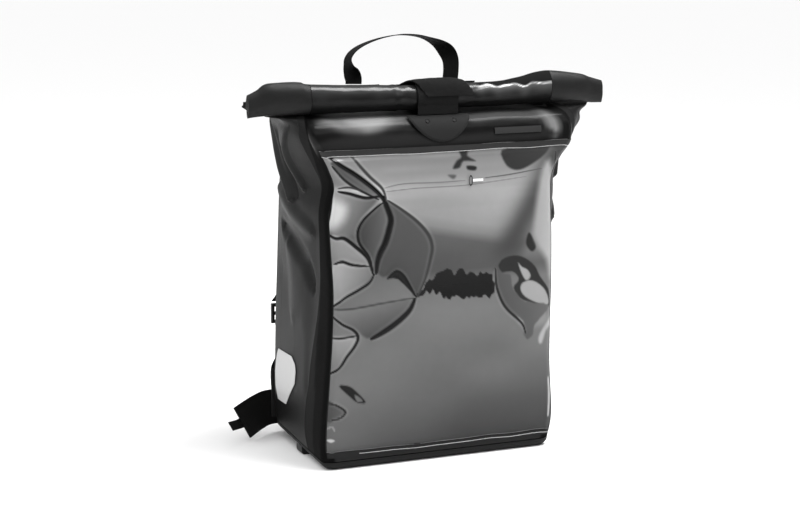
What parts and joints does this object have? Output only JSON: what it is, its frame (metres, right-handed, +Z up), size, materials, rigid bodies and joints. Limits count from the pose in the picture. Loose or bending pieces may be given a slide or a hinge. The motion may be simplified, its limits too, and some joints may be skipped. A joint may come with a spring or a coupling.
{
  "type": "roll-top courier backpack",
  "caption": "Upright roll-top courier backpack of coated cloth with a clear front pocket, closure strap, carry handle, padded back, shoulder straps and hip fins.",
  "frame": {"origin": "on the floor, in the middle of the underside of the front foot rail", "axes": "+Z up, -Y towards the front with the clear pocket, +X to the right seen from the front"},
  "size_m": [0.6236, 0.3148, 0.6872],
  "materials": {
    "coated_gloss": "glossy black coated cloth",
    "coated_cloth": "matte black coated woven cloth",
    "webbing": "black woven webbing",
    "padding": "black padded mesh cloth",
    "rubber_patch": "matte black moulded patch",
    "clear_film": "glossy clear film over black",
    "black_plastic": "satin black plastic",
    "white_trim": "white plastic",
    "reflective": "silver grey reflective sheet"
  },
  "bodies": {
    "root": {"front_panel": "coated_gloss", "side_panel_left": "coated_cloth", "side_panel_right": "coated_cloth", "back_panel": "coated_cloth", "base_panel": "coated_cloth", "roll_center": "coated_gloss", "roll_end_left": "coated_cloth", "roll_end_right": "coated_cloth", "foot_rail_front": "black_plastic", "foot_rail_back": "black_plastic", "window_film": "clear_film", "pocket_hem_bottom": "coated_gloss", "pocket_hem_top": "coated_gloss", "pocket_pull": "white_trim", "pocket_loop": "black_plastic", "front_bar": "black_plastic", "strap_patch": "rubber_patch", "rivet_left": "black_plastic", "rivet_right": "black_plastic", "closure_tab": "webbing", "closure_strap": "webbing", "handle_anchor_left": "webbing", "handle_anchor_right": "webbing", "carry_handle": "webbing", "reflector_left": "reflective", "reflector_right": "reflective", "back_pad": "padding", "lumbar_pad": "padding", "shoulder_strap_left": "padding", "shoulder_strap_right": "padding", "buckle_left": "black_plastic", "buckle_right": "black_plastic", "webbing_left": "webbing", "webbing_right": "webbing", "belt_fin_left": "webbing", "belt_fin_right": "webbing", "belt_webbing_left": "webbing", "belt_webbing_right": "webbing"}
  },
  "joints": []
}
